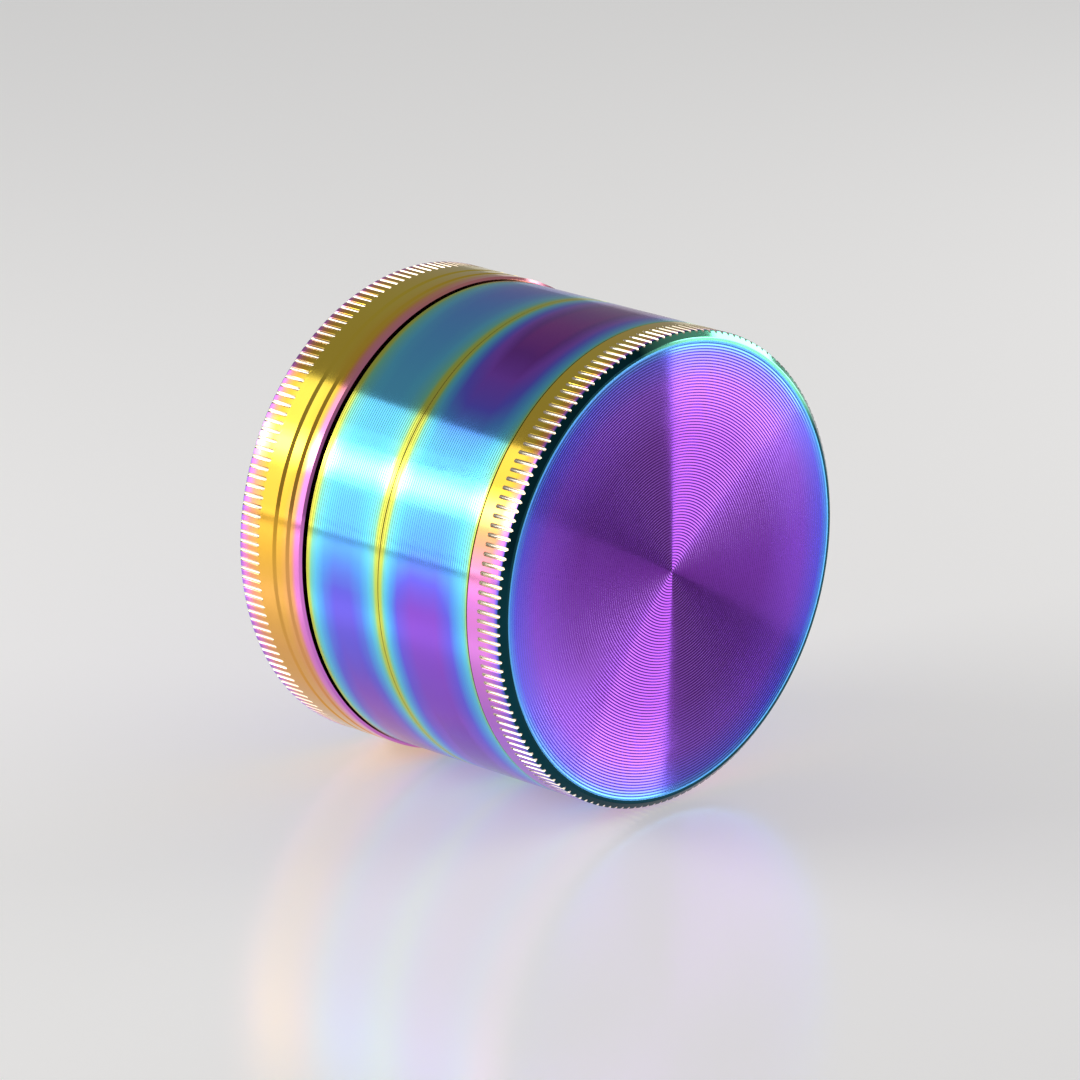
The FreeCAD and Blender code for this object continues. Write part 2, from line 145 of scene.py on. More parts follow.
def rainbowZinc(name, coat):
    # Die-cast zinc, turned, polished and vapour coated: a mirror whose hue follows the film's thickness, with
    # painted highlights and painted dark reflections where the coats and ramp set them.
    material, tree = newMaterial(name)
    place = addNode(tree, "ShaderNodeTexCoord").outputs["Object"]
    axes = addNode(tree, "ShaderNodeSeparateXYZ", {0: place}).outputs
    flat = addNode(tree, "ShaderNodeCombineXYZ", {"X": axes["X"], "Y": axes["Y"]})
    radius = addNode(tree, "ShaderNodeVectorMath", {0: flat}, operation="LENGTH").outputs["Value"]
    low, high = coat["edgeShare"][0][0], coat["edgeShare"][-1][0]
    along = addNode(
        tree,
        "ShaderNodeMapRange",
        {"Value": radius if coat["byRadius"] else axes["Z"], "From Min": low * mm, "From Max": high * mm},
    )
    edge = addNode(tree, "ShaderNodeValToRGB", {"Fac": along})
    setStops(edge.color_ramp, [((at - low) / (high - low), share) for at, share in coat["edgeShare"]])
    bearing = addNode(tree, "ShaderNodeMath", {0: axes["Y"], 1: axes["X"]}, operation="ARCTAN2")
    lap = addNode(tree, "ShaderNodeMapRange", {"Value": bearing, "From Min": -math.pi, "From Max": math.pi})
    films = []
    for zone in ("middleFilm", "edgeFilm"):
        films.append(addNode(tree, "ShaderNodeValToRGB", {"Fac": lap}))
        films[-1].color_ramp.interpolation = "CARDINAL"
        setStops(films[-1].color_ramp, filmRound(coat[zone]))
    film = addNode(tree, "ShaderNodeMix", {0: edge, 2: films[0], 3: films[1]})
    patchScale = 1 / (coatTexture["patch"] * mm)
    patch = addNode(tree, "ShaderNodeTexNoise", {"Vector": place, "Scale": patchScale, "Detail": 2.0})
    drift = addNode(tree, "ShaderNodeMath", {0: patch.outputs["Fac"], 1: 0.5}, operation="SUBTRACT")
    thickness = addNode(
        tree,
        "ShaderNodeMath",
        {0: drift, 1: coat["drift"] / (filmHigh - filmLow), 2: film},
        operation="MULTIPLY_ADD",
    )
    colour = addNode(tree, "ShaderNodeValToRGB", {"Fac": thickness})
    setStops(colour.color_ramp, [(filmShare(nanometres), shade) for nanometres, shade in filmAndPaintedLightColours])
    smearScale = 1 / (coatTexture["smear"] * mm)
    smear = addNode(tree, "ShaderNodeTexNoise", {"Vector": place, "Scale": smearScale, "Detail": 4.0})
    clean, smeared = coatTexture["smearLevels"]
    bright, dull = coat["roughness"]
    gloss = addNode(
        tree,
        "ShaderNodeMapRange",
        {
            "Value": smear.outputs["Fac"],
            "From Min": clean,
            "From Max": smeared,
            "To Min": bright,
            "To Max": dull,
        },
    )
    shader = addNode(
        tree, "ShaderNodeBsdfPrincipled", {"Base Color": colour, "Metallic": 1.0, "Roughness": gloss}
    )
    addNode(tree, "ShaderNodeOutputMaterial", {"Surface": shader})
    return material


# Each coat gives the film in nanometres at a piece's middle and at its edges, by degrees round the axis; some
# of it is painted light, noted at the coat.
# edgeShare says how far it has gone from the one to the other, by millimetres along the axis or from it.
endCoat = {  # the foot's face and the lid's face
    "byRadius": True,
    "edgeShare": [
        (0.0, 0.0), (18.0, 0.04), (25.0, 0.16), (28.4, 0.36), (29.5, 0.6), (30.0, 0.95), (32.0, 1.0),
    ],
    "middleFilm": [(0, 43), (90, 43.5), (180, 43), (270, 43.5)],
    "edgeFilm": [(0, 77), (120, 76), (240, 77)],
    "drift": 2,
    "roughness": (0.10, 0.16),
}
trayCoat = {
    "byRadius": False,
    "edgeShare": [(0.0, 1.0), (0.6, 1.0), (0.75, 0.6), (1.3, 0.26), (2.8, 0.0), (6.0, 0.0)],
    "middleFilm": [
        (120, 151), (160, 147), (185, 143), (201, 126), (225, 112), (260, 111), (295, 112),
        (20, 120), (70, 140),
    ],
    # the bevel: dark teal all round, a painted dark reflection, and mint from 275 to 315 degrees, a painted
    # highlight on its top
    "edgeFilm": [(120, 178), (200, 178), (255, 180), (275, 187), (315, 187), (340, 178), (30, 178)],
    "drift": 8,
    "roughness": (0.09, 0.15),
}
sieveCoat = {
    "byRadius": False,
    "edgeShare": [
        (2.5, 0.7), (3.6, 0.15), (5.2, 0.4), (6.0, 0.9), (6.25, 0.74), (6.6, 0.56), (7.6, 0.36),
        (9.2, 0.12), (11.6, 0.0), (16.0, 0.0), (18.2, 0.1), (19.5, 0.32), (20.4, 0.56), (20.9, 0.8),
        (21.3, 0.95), (21.6, 1.0),
    ],
    # thicker, cyan film from about 190 to 230 degrees, where the left softboxes' band falls: a painted
    # highlight hue over the film's own variation round the axis
    "middleFilm": [
        (120, 45), (150, 48), (178, 49), (192, 63), (205, 70), (218, 69), (228, 55), (238, 47),
        (258, 40.5), (295, 44), (0, 52), (60, 47),
    ],
    "edgeFilm": [(120, 97), (200, 104), (260, 101), (20, 104)],
    "drift": 6,
    "roughness": (0.09, 0.15),
}
chamberCoat = {
    "byRadius": False,
    "edgeShare": [
        (18.1, 0.7), (19.2, 0.15), (20.8, 0.4), (21.6, 1.0), (21.9, 0.95), (22.3, 0.8), (22.8, 0.56),
        (23.7, 0.32), (25.0, 0.1), (26.8, 0.0), (29.6, 0.0), (31.4, 0.1), (32.6, 0.32), (33.5, 0.56),
        (34.0, 0.8), (34.3, 0.95), (34.6, 1.0), (35.8, 0.6), (38.2, 0.1), (40.6, 0.15), (42.1, 0.7),
    ],
    # thicker, cyan film from about 190 to 260 degrees, round where the left softboxes' band falls: a painted
    # highlight hue over the film's own variation round the axis
    "middleFilm": [
        (120, 46), (150, 51), (178, 57), (192, 69), (205, 73), (218, 74), (235, 72), (262, 64),
        (295, 52), (0, 46), (60, 56),
    ],
    "edgeFilm": [(120, 96), (200, 104), (260, 99), (20, 103)],
    "drift": 6,
    "roughness": (0.09, 0.15),
}
lidCoat = {
    "byRadius": False,
    "edgeShare": [
        (30.5, 0.0), (33.0, 0.3), (35.2, 0.42), (36.2, 0.36), (37.0, 0.1), (39.0, 0.0), (42.8, 0.0),
        (44.6, 0.2), (45.6, 0.4), (46.25, 0.6), (46.4, 1.0), (47.0, 1.0),
    ],
    "middleFilm": [
        (120, 122), (170, 124), (200, 116), (225, 110), (260, 110), (295, 110), (20, 118), (70, 124),
    ],
    # the bevel: dark teal all round, the same painted dark reflection as the tray's
    "edgeFilm": [(120, 176), (170, 176), (215, 178), (240, 172), (295, 174), (20, 178)],
    "drift": 8,
    "roughness": (0.09, 0.15),
}
slotPaintedHighlightCoat = {  # pale cream in the grip's slots: a painted highlight for the bright reflections they catch
    "byRadius": False,
    "edgeShare": [(0.0, 0.0), (47.0, 1.0)],
    "middleFilm": [(0, 21), (120, 21), (240, 21)],
    "edgeFilm": [(0, 22), (120, 22), (240, 22)],
    "drift": 3,
    "roughness": (0.09, 0.15),
}
coats = {
    "end": rainbowZinc("rainbowZincTurnedFace", endCoat),
    # the slots' pale cream is a painted highlight
    "slot": rainbowZinc("rainbowZincSlotPaintedHighlight", slotPaintedHighlightCoat),
    "tray": rainbowZinc("rainbowZincTray", trayCoat),
    "sieve": rainbowZinc("rainbowZincSieveChamber", sieveCoat),
    "chamber": rainbowZinc("rainbowZincGrindingChamber", chamberCoat),
    "lid": rainbowZinc("rainbowZincLid", lidCoat),
}
scratches = {
    "stretch": 0.06,  # of the pattern's scale along X, so that marks run that way
    "levels": (0.3, 0.7),  # noise at the dark and at the bright shade
    "relief": 0.15,  # the bump's strength
    "depth": 0.02,  # millimetres
}


def greyMetal(name, shades, grain, roughness):
    # Bare steel or nickel plate: grey metal with fine drawn-out scratches along X.
    material, tree = newMaterial(name)
    place = addNode(tree, "ShaderNodeTexCoord").outputs["Object"]
    drawn = addNode(tree, "ShaderNodeMapping", {"Vector": place, "Scale": (scratches["stretch"], 1.0, 1.0)})
    noise = addNode(tree, "ShaderNodeTexNoise", {"Vector": drawn, "Scale": 1 / (grain * mm), "Detail": 3.0})
    scratch = noise.outputs["Fac"]
    shade = addNode(tree, "ShaderNodeValToRGB", {"Fac": scratch})
    setStops(shade.color_ramp, list(zip(scratches["levels"], shades)))
    low, high = scratches["levels"]
    gloss = addNode(
        tree,
        "ShaderNodeMapRange",
        {"Value": scratch, "From Min": low, "From Max": high, "To Min": roughness[0], "To Max": roughness[1]},
    )
    relief = addNode(
        tree,
        "ShaderNodeBump",
        {"Height": scratch, "Strength": scratches["relief"], "Distance": scratches["depth"] * mm},
    )
    shader = addNode(
        tree,
        "ShaderNodeBsdfPrincipled",
        {"Base Color": shade, "Metallic": 1.0, "Roughness": gloss, "Normal": relief},
    )
    addNode(tree, "ShaderNodeOutputMaterial", {"Surface": shader})
    return material


moulding = {
    "mottle": 3.0,  # millimetres, as are the grain and its depth
    "grain": 0.15,
    "depth": 0.01,
    "relief": 0.2,  # the bump's strength
}


def mouldedNylon(name):
    # Moulded white nylon: satin and faintly mottled.
    material, tree = newMaterial(name)
    place = addNode(tree, "ShaderNodeTexCoord").outputs["Object"]
    mottleScale, grainScale = 1 / (moulding["mottle"] * mm), 1 / (moulding["grain"] * mm)
    mottle = addNode(tree, "ShaderNodeTexNoise", {"Vector": place, "Scale": mottleScale, "Detail": 3.0})
    shade = addNode(tree, "ShaderNodeValToRGB", {"Fac": mottle.outputs["Fac"]})
    setStops(shade.color_ramp, [(0.3, "#e4e0d6"), (0.7, "#f2efe8")])
    grain = addNode(tree, "ShaderNodeTexNoise", {"Vector": place, "Scale": grainScale, "Detail": 2.0})
    relief = addNode(
        tree,
        "ShaderNodeBump",
        {"Height": grain.outputs["Fac"], "Strength": moulding["relief"], "Distance": moulding["depth"] * mm},
    )
    shader = addNode(
        tree,
        "ShaderNodeBsdfPrincipled",
        {"Base Color": shade, "Roughness": 0.45, "IOR": 1.53, "Normal": relief},
    )
    addNode(tree, "ShaderNodeOutputMaterial", {"Surface": shader})
    return material


nickel = greyMetal("nickelPlateBright", ("#c9c4b8", "#ddd8cc"), 0.6, (0.12, 0.24))
steel = greyMetal("steelSheetRolled", ("#b4b4b2", "#cfcfcc"), 0.4, (0.22, 0.38))
wireSteel = greyMetal("steelWireDrawn", ("#a9a9a6", "#c6c6c2"), 0.3, (0.2, 0.35))
nylon = mouldedNylon("whiteNylonMoulded")
for node, material in {
    "lid_magnet": nickel,
    "chamber_magnet": nickel,
    "friction_ring": nylon,
    "screen_ring": steel,
    "scraper": steel,
}.items():
    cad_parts[node].material_slots[0].material = material
print("finishes made:", len(bpy.data.materials))


def newTree(name, inputs):
    tree = bpy.data.node_groups.new(name, "GeometryNodeTree")
    tree.interface.new_socket("Geometry", in_out="INPUT", socket_type="NodeSocketGeometry")
    for label, kind in inputs.items():
        tree.interface.new_socket(label, in_out="INPUT", socket_type="NodeSocket" + kind)
    tree.interface.new_socket("Geometry", in_out="OUTPUT", socket_type="NodeSocketGeometry")
    return tree, addNode(tree, "NodeGroupInput").outputs


def closeTree(tree, geometry, material):
    whole = addNode(tree, "GeometryNodeRealizeInstances", {"Geometry": geometry})
    coated = addNode(tree, "GeometryNodeSetMaterial", {"Geometry": whole, "Material": material})
    addNode(tree, "NodeGroupOutput", {"Geometry": coated})


def grow(tree, base, settings):
    # runs a tree on a mesh and gives back the plain mesh
    holder = bpy.data.objects.new(tree.name, base or bpy.data.meshes.new(tree.name))
    bpy.context.scene.collection.objects.link(holder)
    modifier = holder.modifiers.new(tree.name, "NODES")
    modifier.node_group = tree
    for item in tree.interface.items_tree:
        if item.in_out == "INPUT" and item.name in settings:
            modifier[item.identifier] = settings[item.name]
    graph = bpy.context.evaluated_depsgraph_get()
    mesh = bpy.data.meshes.new_from_object(holder.evaluated_get(graph), depsgraph=graph)
    bpy.data.objects.remove(holder)
    return mesh


def sweepTree():
    # sweeps a chain of points (radius, 0, height) round the axis, and up it for a thread
    sizes = {"Columns": "Int", "Sweep": "Float", "Rise": "Float", "Material": "Material"}
    tree, given = newTree("sweptProfile", sizes)
    chain = addNode(tree, "GeometryNodeAttributeDomainSize", {"Geometry": given["Geometry"]})
    rows = chain.outputs["Point Count"]
    count = addNode(tree, "ShaderNodeMath", {0: given["Columns"], 1: 1.0}, operation="ADD")
    sheet = addNode(tree, "GeometryNodeMeshGrid", {"Vertices X": count, "Vertices Y": rows})
    index = addNode(tree, "GeometryNodeInputIndex")
    row = addNode(tree, "ShaderNodeMath", {0: index, 1: rows}, operation="MODULO")
    lap = addNode(tree, "ShaderNodeMath", {0: index, 1: rows}, operation="DIVIDE")
    column = addNode(tree, "ShaderNodeMath", {0: lap}, operation="FLOOR")
    share = addNode(tree, "ShaderNodeMath", {0: column, 1: given["Columns"]}, operation="DIVIDE")
    angle = addNode(tree, "ShaderNodeMath", {0: share, 1: given["Sweep"]}, operation="MULTIPLY")
    climb = addNode(tree, "ShaderNodeMath", {0: share, 1: given["Rise"]}, operation="MULTIPLY")
    position = addNode(tree, "GeometryNodeInputPosition")
    point = addNode(
        tree,
        "GeometryNodeSampleIndex",
        {"Geometry": given["Geometry"], "Value": position, "Index": row},
        data_type="FLOAT_VECTOR",
        domain="POINT",
    )
    spun = addNode(tree, "ShaderNodeVectorRotate", {"Vector": point, "Angle": angle}, rotation_type="Z_AXIS")
    lift = addNode(tree, "ShaderNodeCombineXYZ", {"Z": climb})
    placed = addNode(tree, "GeometryNodeSetPosition", {"Geometry": sheet, "Position": spun, "Offset": lift})
    closeTree(tree, placed, given["Material"])
    return tree


def roundTree():
    # repeats a shape evenly round the axis
    tree, given = newTree("repeatedRound", {"Count": "Int", "First Angle": "Float", "Material": "Material"})
    points = addNode(tree, "GeometryNodePoints", {"Count": given["Count"]})
    index = addNode(tree, "GeometryNodeInputIndex")
    step = addNode(tree, "ShaderNodeMath", {0: fullTurn, 1: given["Count"]}, operation="DIVIDE")
    angle = addNode(
        tree, "ShaderNodeMath", {0: index, 1: step, 2: given["First Angle"]}, operation="MULTIPLY_ADD"
    )
    spin = addNode(tree, "FunctionNodeAxisAngleToRotation", {"Axis": (0, 0, 1), "Angle": angle})
    copies = addNode(
        tree,
        "GeometryNodeInstanceOnPoints",
        {"Points": points, "Instance": given["Geometry"], "Rotation": spin},
    )
    closeTree(tree, copies, given["Material"])
    return tree


sweptProfile = sweepTree()
repeatedRound = roundTree()
columns = 160  # round every turned piece, as many as the grip has slots
weldGap = 0.002 * mm
creases = {"turnedLine": 3, "hollow": 65, "ridge": 16}  # degrees of bend past which an edge stays crisp


def swept(points, material, sweep=fullTurn, rise=0.0):
    chain = bpy.data.meshes.new("profile")
    links = [(i, i + 1) for i in range(len(points) - 1)]
    chain.from_pydata([(radius * mm, 0, height * mm) for radius, height in points], links, [])
    count = round(columns * sweep / fullTurn)
    sizes = {"Columns": count, "Sweep": sweep, "Rise": rise * mm, "Material": material}
    return grow(sweptProfile, chain, sizes)


def repeated(shape, count, firstAngle, material):
    return grow(repeatedRound, shape, {"Count": count, "First Angle": firstAngle, "Material": material})


def moved(mesh, matrix):
    mesh.transform(matrix)
    return mesh


def staysSmooth(edge):
    bend = math.degrees(edge.calc_face_angle_signed())  # positive where it stands out
    start, end = (vert.co for vert in edge.verts)
    level = abs(start.z - end.z) < weldGap
    if level and abs(start.xy.length - end.xy.length) < weldGap:
        return abs(bend) < creases["turnedLine"]
    return -creases["hollow"] < bend < creases["ridge"]


def addPiece(name, meshes, body, node):
    # joins the parts of one casting, closes its seams, and marks which edges stay crisp
    joined = bmesh.new()
    materials = []
    for mesh in meshes:
        first = len(joined.faces)
        joined.from_mesh(mesh)
        joined.faces.ensure_lookup_table()
        for material in mesh.materials:
            if material not in materials:
                materials.append(material)
        for face in joined.faces[first:]:
            face.material_index = materials.index(mesh.materials[face.material_index])
    bmesh.ops.remove_doubles(joined, verts=joined.verts, dist=weldGap)
    bmesh.ops.holes_fill(joined, edges=[e for e in joined.edges if e.is_boundary], sides=4)  # thread ends
    bmesh.ops.recalc_face_normals(joined, faces=joined.faces)
    for edge in joined.edges:
        if len(edge.link_faces) == 2:
            edge.smooth = staysSmooth(edge)
    for face in joined.faces:
        face.smooth = True
    loose = sum(1 for edge in joined.edges if not edge.is_manifold)
    mesh = bpy.data.meshes.new(name)
    joined.to_mesh(mesh)
    joined.free()
    for material in materials:
        mesh.materials.append(material)
    piece = bpy.data.objects.new(name, mesh)
    bpy.context.scene.collection.objects.link(piece)
    even = piece.modifiers.new("evenNormals", "WEIGHTED_NORMAL")  # flats stay flat beside small bevels
    even.keep_sharp = True
    graph = bpy.context.evaluated_depsgraph_get()
    done = bpy.data.meshes.new_from_object(piece.evaluated_get(graph), depsgraph=graph)
    piece.modifiers.clear()
    piece.data = done
    done.name = name
    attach(piece, body)
    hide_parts(node)
    print(f"{name}: {len(done.polygons)} faces, {loose} open edges")


grip = {  # the slotted rim, its bevel and the turned end face, shared by the tray and the lid
    "slotLength": 4.15,
    "slotHalf": 0.25,  # half its width, without the broken edges
    "slotSection": [(0.0, 0.32), (0.13, 0.27), (0.21, 0.15), (0.255, 0.03), (0.29, 0.0)],  # offset, depth
    "endSwings": (30, 55, 80),  # degrees round the slot's closed end
    "endMargin": 0.03,  # past the slot's end, to where the rim is whole
    "endNarrow": 0.1,  # share of the slot's width that is left there
    "plainFaces": 2,  # on each side of the slot: the land and the broken edge
    "cellEnd": 4.65,  # from the end face to the plain wall
    "bevelWidth": 0.85,
    "bevelHeight": 0.7,
    "edgeRound": 0.06,
    "markPitch": 0.375,
    "markDepth": 0.07,
    "markReach": 29.6,  # radius of the last turning mark
    "land": 29.85,  # radius at which the flat before the bevel begins
}
halfCell = math.pi / columns


def eased(before, corner, after, size):
    # two points that take a corner off, in (radius, height)
    corner = Vector(corner)
    return [tuple(corner + (Vector(side) - corner).normalized() * size) for side in (before, after)]


def cutFrom(cell, name, keep):
    # a mesh of the faces whose numbers are given
    part = cell.copy()
    others = [face for face in part.faces if face.index not in keep]
    bmesh.ops.delete(part, geom=others, context="FACES")
    mesh = bpy.data.meshes.new(name)
    part.to_mesh(mesh)
    part.free()
    return mesh


def gripCell(radius):
    # one slot and its share of the rim, as two meshes; heights run inwards from the end face
    foot = radius - grip["bevelWidth"]
    half = grip["slotHalf"]
    cell = bmesh.new()

    def row(points):
        places = [(r * math.cos(angle), r * math.sin(angle), height) for angle, r, height in points]
        return [cell.verts.new(Vector(place) * mm) for place in places]

    def across(section):
        # mirrors half a row of (offset, radius, height) about the slot; the last point is the cell's edge
        side = [(offset / radius, r, height) for offset, r, height in section[:-1]]
        side.append((halfCell, *section[-1][1:]))
        return row([(-angle, r, height) for angle, r, height in reversed(side)] + side[1:])

    def slotRow(height, narrow, share):
        section = []
        for offset, depth in grip["slotSection"]:
            inner = min(offset, half) * narrow + max(0.0, offset - half)
            section.append((inner, radius - depth * share, height))
        return across(section + [(0, radius, height)])

    bevel = []  # its corners are eased towards points a millimetre along the flats beside it
    for offset, depth in grip["slotSection"] + [(0, 0.0)]:
        top = (radius - depth, grip["bevelHeight"] * (1 - depth / grip["bevelWidth"]))
        lower = eased((foot - 1, 0), (foot, 0), top, grip["edgeRound"])
        upper = eased((foot, 0), top, (top[0], top[1] + 1), grip["edgeRound"])
        bevel.append([(offset, *point) for point in lower + upper])
    rows = [across(level) for level in zip(*bevel)]
    bevelLevels = len(rows) - 1
    bend = grip["slotLength"] - half
    rows.append(slotRow(bend, 1.0, 1.0))
    for swing in map(math.radians, grip["endSwings"]):
        rows.append(slotRow(bend + half * math.sin(swing), math.cos(swing), math.cos(swing)))
    rows.append(slotRow(grip["slotLength"] + grip["endMargin"], grip["endNarrow"], 0.0))
    slotFaces = []
    lastSlotFace = len(rows[0]) - 2 - grip["plainFaces"]
    for level, (low, high) in enumerate(zip(rows, rows[1:])):
        for i in range(len(low) - 1):
            face = cell.faces.new((low[i], low[i + 1], high[i + 1], high[i]))
            if level >= bevelLevels and grip["plainFaces"] <= i <= lastSlotFace:
                slotFaces.append(face)
    for r, height, edge in ((grip["land"], 0.0, rows[0]), (radius, grip["cellEnd"], rows[-1])):
        cell.faces.new(row([(-halfCell, r, height), (halfCell, r, height)]) + edge[::-1])
    cell.faces.index_update()
    slot = {face.index for face in slotFaces}
    rim = {face.index for face in cell.faces} - slot
    meshes = cutFrom(cell, "gripRim", rim), cutFrom(cell, "gripSlot", slot)
    cell.free()
    return meshes


def turnedFace():
    # concentric turning marks from the middle to the land, crest to valley to crest
    points = [(0.0, 0.0)]
    for i in range(1, round(2 * grip["markReach"] / grip["markPitch"]) + 1):
        points.append((i * grip["markPitch"] / 2, grip["markDepth"] if i % 2 else 0.0))
    return points + [(grip["land"], 0.0)]


def gripShell(radius, rest, material):
    # rest is the profile from the slots' ends to the middle; its columns stand on the cells' edges
    turn = Matrix.Rotation(halfCell, 4, "Z")
    rim, slot = gripCell(radius)
    return [
        moved(swept(turnedFace(), coats["end"]), turn),
        repeated(rim, columns, 0.0, material),
        repeated(slot, columns, 0.0, coats["slot"]),
        moved(swept([(radius, grip["cellEnd"])] + rest, material), turn),
    ]


screw = {  # the thread between the tray and the sieve chamber, and between the two chambers
    "pitch": 1.5,
    "length": 2.4,
    "height": 0.7,
    "root": 0.8,
    "crest": 0.3,
    "leadIn": 1.2,
    "sunk": 0.08,  # how far a ridge's root stands in its wall
    "rimWall": 2.1,
    "spigotWall": 2.0,
}
spigotBore = cad["screen_ring"]["radius"] + seat
spigotRadius = spigotBore + screw["spigotWall"]


def threadRidge(rim, radius, way, material):
    # a right-hand ridge below a rim, on a spigot (way 1) or in a bore (way -1), half a pitch apart
    late = screw["pitch"] / 2 if way > 0 else 0.0
    start = rim - screw["leadIn"] - screw["length"] + late
    root, crest = radius - way * screw["sunk"], radius + way * screw["height"]
    section = [
        (root, start - screw["root"] / 2),
        (crest, start - screw["crest"] / 2),
        (crest, start + screw["crest"] / 2),
        (root, start + screw["root"] / 2),
    ]
    sweep = fullTurn * screw["length"] / screw["pitch"]
    return swept(section + section[:1], material, sweep, screw["length"])


tray = {"edge": 0.1}


def makeTray():
    radius, rim = cad["base_tray"]["radius"], cad["base_tray"]["top"]
    bore = radius - screw["rimWall"]
    floor = cad["scraper"]["foot"] - seat
    rest = [(radius, rim - tray["edge"]), (radius - tray["edge"], rim)]
    rest += [(bore, rim), (bore, floor), (0.0, floor)]
    meshes = gripShell(radius, rest, coats["tray"])
    meshes.append(threadRidge(rim, bore, -1, coats["tray"]))
    addPiece("trayShell", meshes, "tray", "base_tray")


ringMarks = {"pitch": 0.375, "width": 0.1, "depth": 0.01}  # fine turning marks round the two plain rings


def markedWall(radius, low, high):
    points = [(radius, low)]
    count = round((high - low) / ringMarks["pitch"])
    half = ringMarks["width"] / 2
    for i in range(count):
        mark = low + (high - low) * (i + 0.5) / count
        points += [(radius, mark - half), (radius - ringMarks["depth"], mark), (radius, mark + half)]
    return points + [(radius, high)]


sieve = {
    "edge": 0.06,
    "wall": 4.1,  # below the thread
    "boreRoom": 0.8,  # below the upper chamber's spigot
    "ledgeReach": 1.4,
    "ledgeHeight": 1.2,
}


def makeSieveChamber():
    radius, end, rim = (cad["sieve_chamber"][size] for size in ("radius", "foot", "top"))
    foot = cad["base_tray"]["top"] + seat
    edge = radius - sieve["edge"]
    bore, wall = radius - screw["rimWall"], radius - sieve["wall"]
    boreFloor = cad["grinding_chamber"]["foot"] - sieve["boreRoom"]
    ledge = spigotBore - sieve["ledgeReach"]
    under = cad["sieve_screen"]["top"] + seat
    over = under + sieve["ledgeHeight"]
    profile = [(spigotBore, end), (spigotRadius, end), (spigotRadius, foot), (edge, foot)]
    profile += markedWall(radius, foot + sieve["edge"], rim - sieve["edge"])
    profile += [(edge, rim), (bore, rim), (bore, boreFloor), (wall, boreFloor), (wall, over)]
    profile += [(ledge, over), (ledge, under), (spigotBore, under), (spigotBore, end)]
    meshes = [
        swept(profile, coats["sieve"]),
        threadRidge(rim, bore, -1, coats["sieve"]),
        threadRidge(cad["base_tray"]["top"], spigotRadius, 1, coats["sieve"]),
    ]
    addPiece("sieveChamber", meshes, "sieve_section", "sieve_chamber")


grinding = {  # the space between the lid and the grinding chamber, and its diamond teeth
    "lidPlay": 0.4,  # between the lid's skirt and the neck
    "neckWall": 2.2,
    "bossWall": 1.9,  # of the post round each magnet
    "depth": 12.6,  # from the neck's rim to the floor
    "toothRings": 4,  # the lid has the odd ones, the chamber the even ones
    "toothLength": 4.6,
    "toothRoom": 0.9,  # between two rings of teeth
    "toothTip": (0.2, 0.25),  # bevel across a tooth, and along it and its height
    "toothRooted": 0.15,
}
skirt = cad["friction_ring"]["radius"] + seat
ceiling = cad["friction_ring"]["top"] + seat
neck = skirt - grinding["lidPlay"]
neckRim = cad["friction_ring"]["foot"] - seat
cavity = neck - grinding["neckWall"]
grindingFloor = neckRim - grinding["depth"]
pocket = cad["lid_magnet"]["radius"] + seat
boss = pocket + grinding["bossWall"]
toothHeight = ceiling - cad["lid"]["foot"]
ringStep = (cavity - boss) / (grinding["toothRings"] + 1)


def ringRadius(number):
    return boss + number * ringStep


def toothMesh(radius, root, way):
    # one diamond tooth on the +X axis, with its tip bevelled and its root sunk into the casting
    width = ringStep - grinding["toothRoom"]
    tipAcross, tipAlong = grinding["toothTip"]
    levels = [
        (-grinding["toothRooted"], 0.0, 0.0),
        (toothHeight - tipAlong, 0.0, 0.0),
        (toothHeight, tipAcross, tipAlong),
    ]
    tooth = bmesh.new()
    loops = []
    for height, insetAcross, insetAlong in levels:
        reach, spread = width / 2 - insetAcross, grinding["toothLength"] / 2 - insetAlong
        z = root + way * height
        corners = [(radius - reach, 0, z), (radius, -spread, z), (radius + reach, 0, z), (radius, spread, z)]
        loops.append([tooth.verts.new(Vector(corner) * mm) for corner in corners])
    for low, high in zip(loops, loops[1:]):
        for i in range(4):
            tooth.faces.new((low[i], low[(i + 1) % 4], high[(i + 1) % 4], high[i]))
    tooth.faces.new(loops[0])
    tooth.faces.new(loops[-1])
    mesh = bpy.data.meshes.new("tooth")
    tooth.to_mesh(mesh)
    tooth.free()
    return mesh


def toothRing(number, count, root, way, material):
    # way is 1 for teeth that stand up and -1 for teeth that hang down
    return repeated(toothMesh(ringRadius(number), root, way), count, math.pi / count, material)


chamber = {
    "edge": 0.06,
    "wall": 13.0,  # height of the plain ring
    "floor": 2.6,
    "teeth": {2: 8, 4: 12},  # count by ring
    "holeRadius": 1.5,
    "holeSides": 16,
    "holeMargin": 0.3,  # outer holes to the cavity's wall
    "holes": (6, 12, 12),  # under the lid's inner and outer teeth, and along the wall
}
shoulder = cad["sieve_chamber"]["top"] + chamber["wall"]


